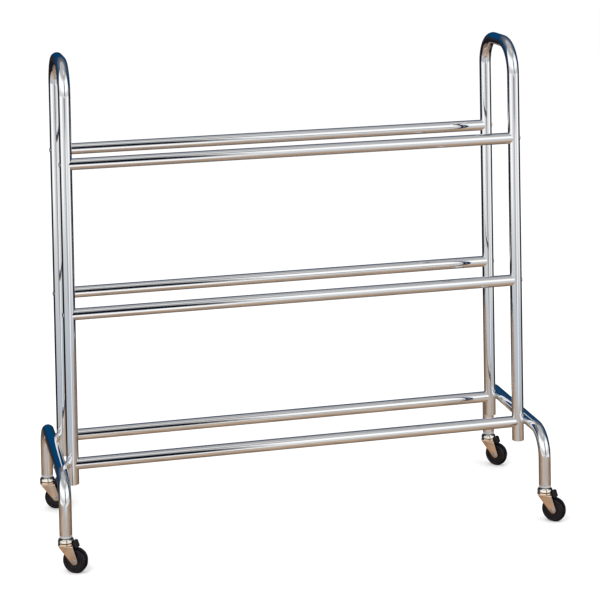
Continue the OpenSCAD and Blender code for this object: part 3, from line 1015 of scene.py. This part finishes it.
def add_floor():
    mesh = bpy.data.meshes.new("floor")
    corners = [(-1, -1), (1, -1), (1, 1), (-1, 1)]
    mesh.from_pydata([(x * FLOOR_HALF, y * FLOOR_HALF, -FLOOR_DROP) for x, y in corners], [], [(0, 1, 2, 3)])
    floor = bpy.data.objects.new("floor", mesh)
    bpy.context.scene.collection.objects.link(floor)
    material, tree = new_tree("pale_floor")
    place = tree.node("ShaderNodeNewGeometry")
    position = place.outputs["Position"]
    path = tree.node("ShaderNodeLightPath")
    right, away = camera_axes(tree)
    spot = tree.node("ShaderNodeCombineXYZ", {
        0: tree.vector("DOT_PRODUCT", position, right).outputs["Value"],
        1: tree.vector("DOT_PRODUCT", position, away).outputs["Value"],
    }).outputs[0]
    outside = tree.vector("ABSOLUTE", tree.vector("SUBTRACT", spot, MAT_MIDDLE).outputs[0]).outputs[0]
    outside = tree.vector("SUBTRACT", outside, MAT_HALF).outputs[0]
    outside = tree.vector("MAXIMUM", outside, (0.0, 0.0, 0.0)).outputs[0]
    off_mat = tree.range(tree.vector("LENGTH", outside).outputs["Value"], *MAT_FADE)
    grain = tree.noise(position, 9.0, 4.0)
    streaks = tree.noise(tree.vector("MULTIPLY", spot, STREAK_SCALE).outputs[0], 1.0, 3.0, 0.6)
    pale = tree.mix(grain, rgb(0.95, 0.95, 0.95), rgb(0.97, 0.97, 0.97))
    toward_camera = tree.vector("DOT_PRODUCT", place.outputs["Incoming"], away).outputs["Value"]
    tan = tree.ramp(tree.range(toward_camera, -1.0, 1.0, smooth=False), [
        ((share + 1) / 2, colour) for share, colour in MAT_PAINTED_SHEEN
    ])
    tan = tree.vector("SCALE", tan).outputs[0]
    tree.tree.links.new(
        tree.range(streaks, 0.30, 0.70, *STREAK_SHADES), tan.node.inputs["Scale"],
    )
    seen = tree.node("ShaderNodeBsdfDiffuse", {"Color": pale}).outputs[0]
    # Painted light: for mirrored rays the mat glows with its direction-shaded tan instead of being lit
    mat_painted_glow = tree.node("ShaderNodeEmission", {"Color": tan, "Strength": MIRRORED_LIGHT}).outputs[0]
    clear = tree.node("ShaderNodeBsdfTransparent").outputs[0]
    in_plating = tree.node("ShaderNodeMixShader", {0: off_mat, 1: mat_painted_glow, 2: clear}).outputs[0]
    top = tree.node(
        "ShaderNodeMixShader", {0: path.outputs["Is Glossy Ray"], 1: seen, 2: in_plating},
    ).outputs[0]
    both = tree.node(
        "ShaderNodeMixShader", {0: place.outputs["Backfacing"], 1: top, 2: clear},
    ).outputs[0]
    tree.node("ShaderNodeOutputMaterial", {"Surface": both})
    mesh.materials.append(material)


def grey(value):
    return rgb(value, value, value)


# Brightness of the studio by elevation in degrees: the backdrop behind the rack, and the other walls
BACKDROP = (
    (-15, rgb(0.010, 0.010, 0.014)),
    (-3, rgb(0.022, 0.024, 0.034)),
    (4, rgb(0.015, 0.020, 0.035)),
    (7, rgb(0.000, 0.040, 0.120)),
    (15, rgb(0.001, 0.050, 0.140)),
    (21, rgb(0.004, 0.040, 0.120)),
    (27, rgb(0.020, 0.050, 0.100)),
    (40, rgb(0.090, 0.100, 0.130)),
    (57, rgb(0.150, 0.160, 0.180)),
    (66, rgb(0.420, 0.430, 0.450)),
    (90, grey(0.42)),
)
WALLS = (
    (-65, rgb(0.29, 0.19, 0.13)),
    (-45, rgb(0.46, 0.38, 0.32)),
    (-25, rgb(0.54, 0.51, 0.49)),
    (-20, rgb(0.44, 0.47, 0.50)),
    (-17, rgb(0.42, 0.46, 0.51)),
    (-15, rgb(0.48, 0.51, 0.55)),
    (-13, grey(0.62)),
    (-11, grey(0.74)),
    (-8, grey(0.84)),
    (-3, grey(0.60)),
    (3, grey(0.62)),
    (9, grey(0.80)),
    (14, grey(1.00)),
    (37, grey(1.00)),
    (45, grey(0.62)),
    (52, grey(0.45)),
    (73, grey(0.42)),
    (90, grey(0.42)),
)
# Middle of the backdrop's opposite side, and how far from the backdrop's middle it gives way to the walls
BACKDROP_TURN = 3.0
BACKDROP_EDGE = (89.0, 96.0)
DOORWAY = rgb(0.003, 0.006, 0.013)
# Patches of the studio: left and right edge, round from the camera's own direction, and their softness;
# low and high edge and their softness; colour, and how much of it covers the wall
PATCHES = (
    (20.0, 52.0, 5.0, 63.0, 80.0, 4.0, grey(0.76), 1.0),
    (16.0, 33.0, 2.0, 44.0, 58.0, 3.0, grey(0.27), 1.0),
    (-80.0, -33.0, 4.0, -11.8, -5.0, 1.0, grey(0.95), 0.9),
    (-34.0, -14.0, 4.0, -12.0, -5.0, 1.0, grey(0.60), 0.8),
    (63.0, 88.0, 3.0, -14.0, -5.0, 1.5, grey(1.00), 0.8),
    (19.0, 31.0, 2.0, -15.8, -11.0, 1.0, grey(0.95), 0.8),
    (17.0, 25.6, 1.4, -38.0, -5.0, 3.0, grey(0.95), 1.0),
    (25.5, 40.0, 1.5, -10.0, -2.0, 2.0, grey(0.54), 1.0),
    (-8.0, 22.0, 2.0, -9.3, -6.0, 0.5, grey(0.05), 0.75),
    (-10.0, 9.0, 2.0, -14.5, -9.3, 0.5, grey(0.15), 0.6),
    (12.0, 24.4, 1.2, -3.0, 20.0, 3.0, DOORWAY, 1.0),
    (12.0, 25.7, 1.4, 17.0, 42.0, 3.0, DOORWAY, 1.0),
)


def add_surroundings():
    """White room light, and for glossy rays a studio that keeps its place as seen from the camera:
    a dark blue backdrop behind the rack, pale walls at the sides and the front, a dim doorway
    and the patches above."""
    world = bpy.data.worlds.new("studio")
    bpy.context.scene.world = world
    world.use_nodes = True
    world.cycles.sampling_method = "NONE"
    tree = Tree(world.node_tree)
    ray = tree.node("ShaderNodeTexCoord").outputs["Generated"]
    right, away = camera_axes(tree)
    side = tree.vector("DOT_PRODUCT", ray, right).outputs["Value"]
    back = tree.vector("DOT_PRODUCT", ray, away).outputs["Value"]
    toward = tree.math("MULTIPLY", back, -1.0)
    height = tree.node("ShaderNodeSeparateXYZ", {0: ray}).outputs["Z"]
    round_from_camera = tree.math("DEGREES", tree.math("ARCTAN2", side, toward))
    elevation = tree.math("DEGREES", tree.math("ARCSINE", height))
    share = tree.range(elevation, -90.0, 90.0, smooth=False)

    def stops(table):
        return [((degrees + 90) / 180, colour) for degrees, colour in table]

    off_turn = tree.math("ABSOLUTE", tree.math("SUBTRACT", round_from_camera, BACKDROP_TURN))
    from_back = tree.math("SUBTRACT", 180.0, off_turn)
    room = tree.mix(
        tree.range(from_back, *BACKDROP_EDGE),
        tree.ramp(share, stops(BACKDROP)), tree.ramp(share, stops(WALLS)),
    )
    for left_edge, right_edge, side_soft, low, high, rise_soft, colour, cover in PATCHES:
        inside = cover
        for value, edge, width in (
            (round_from_camera, left_edge, side_soft), (round_from_camera, right_edge, -side_soft),
            (elevation, low, rise_soft), (elevation, high, -rise_soft),
        ):
            inside = tree.math("MULTIPLY", inside, tree.range(value, edge - width, edge + width))
        room = tree.mix(inside, room, colour)
    glossy = tree.node("ShaderNodeLightPath").outputs["Is Glossy Ray"]
    light = tree.mix(glossy, grey(1.0), room)
    strength = tree.range(glossy, 0.0, 1.0, ROOM_LIGHT, MIRRORED_LIGHT, smooth=False)
    shader = tree.node("ShaderNodeBackground", {"Color": light, "Strength": strength}).outputs[0]
    tree.node("ShaderNodeOutputWorld", {"Surface": shader})


def add_light(name, place, size, power):
    data = bpy.data.lights.new(name, "AREA")
    data.shape = "DISK"
    data.size = size
    data.energy = power
    light = bpy.data.objects.new(name, data)
    light.location = place
    light.rotation_mode = "QUATERNION"
    light.rotation_quaternion = (Vector((0, 0, 0.5)) - Vector(place)).to_track_quat("-Z", "Y")
    light.visible_glossy = False
    bpy.context.scene.collection.objects.link(light)


SENSOR = 36.0
CAMERA_PLACE = (-1.1169, -4.9128, 1.8733)
CAMERA_YAW = math.radians(13.368)
CAMERA_DOWN = math.radians(2.218)
CAMERA_ROLL = math.radians(-1.042)
FOCAL = 113.484
RISE = -0.6742


def add_camera():
    """Camera with its lens lowered, as on a view camera, so that the legs stay nearly upright."""
    data = bpy.data.cameras.new("camera")
    data.sensor_fit = "HORIZONTAL"
    data.sensor_width = SENSOR
    data.lens = FOCAL
    data.clip_start, data.clip_end = 0.05, 200.0
    camera = bpy.data.objects.new("camera", data)
    bpy.context.scene.collection.objects.link(camera)
    bpy.context.scene.camera = camera
    look = Vector((
        math.sin(CAMERA_YAW) * math.cos(CAMERA_DOWN),
        math.cos(CAMERA_YAW) * math.cos(CAMERA_DOWN),
        -math.sin(CAMERA_DOWN),
    ))
    level = Vector((math.cos(CAMERA_YAW), -math.sin(CAMERA_YAW), 0))
    over = level.cross(look)
    right = level * math.cos(CAMERA_ROLL) + over * math.sin(CAMERA_ROLL)
    up = over * math.cos(CAMERA_ROLL) - level * math.sin(CAMERA_ROLL)
    camera.rotation_mode = "QUATERNION"
    camera.rotation_quaternion = Matrix((right, up, -look)).transposed().to_quaternion()
    camera.location = CAMERA_PLACE
    # The lens is lowered only at this station; from anywhere else the camera looks straight ahead
    driver = data.driver_add("shift_y").driver
    driver.type = "SCRIPTED"
    variable = driver.variables.new()
    variable.name = "x"
    variable.type = "TRANSFORMS"
    variable.targets[0].id = camera
    variable.targets[0].transform_type = "LOC_X"
    variable.targets[0].transform_space = "WORLD_SPACE"
    driver.expression = f"{RISE} if abs(x - ({CAMERA_PLACE[0]})) < 0.0005 else 0.0"


add_floor()
add_surroundings()
add_light("key", (-2.4, -3.0, 4.2), 2.6, 90.0)
add_light("fill", (3.0, -2.2, 3.0), 3.0, 40.0)
add_camera()
bpy.context.scene.view_settings.view_transform = "Standard"
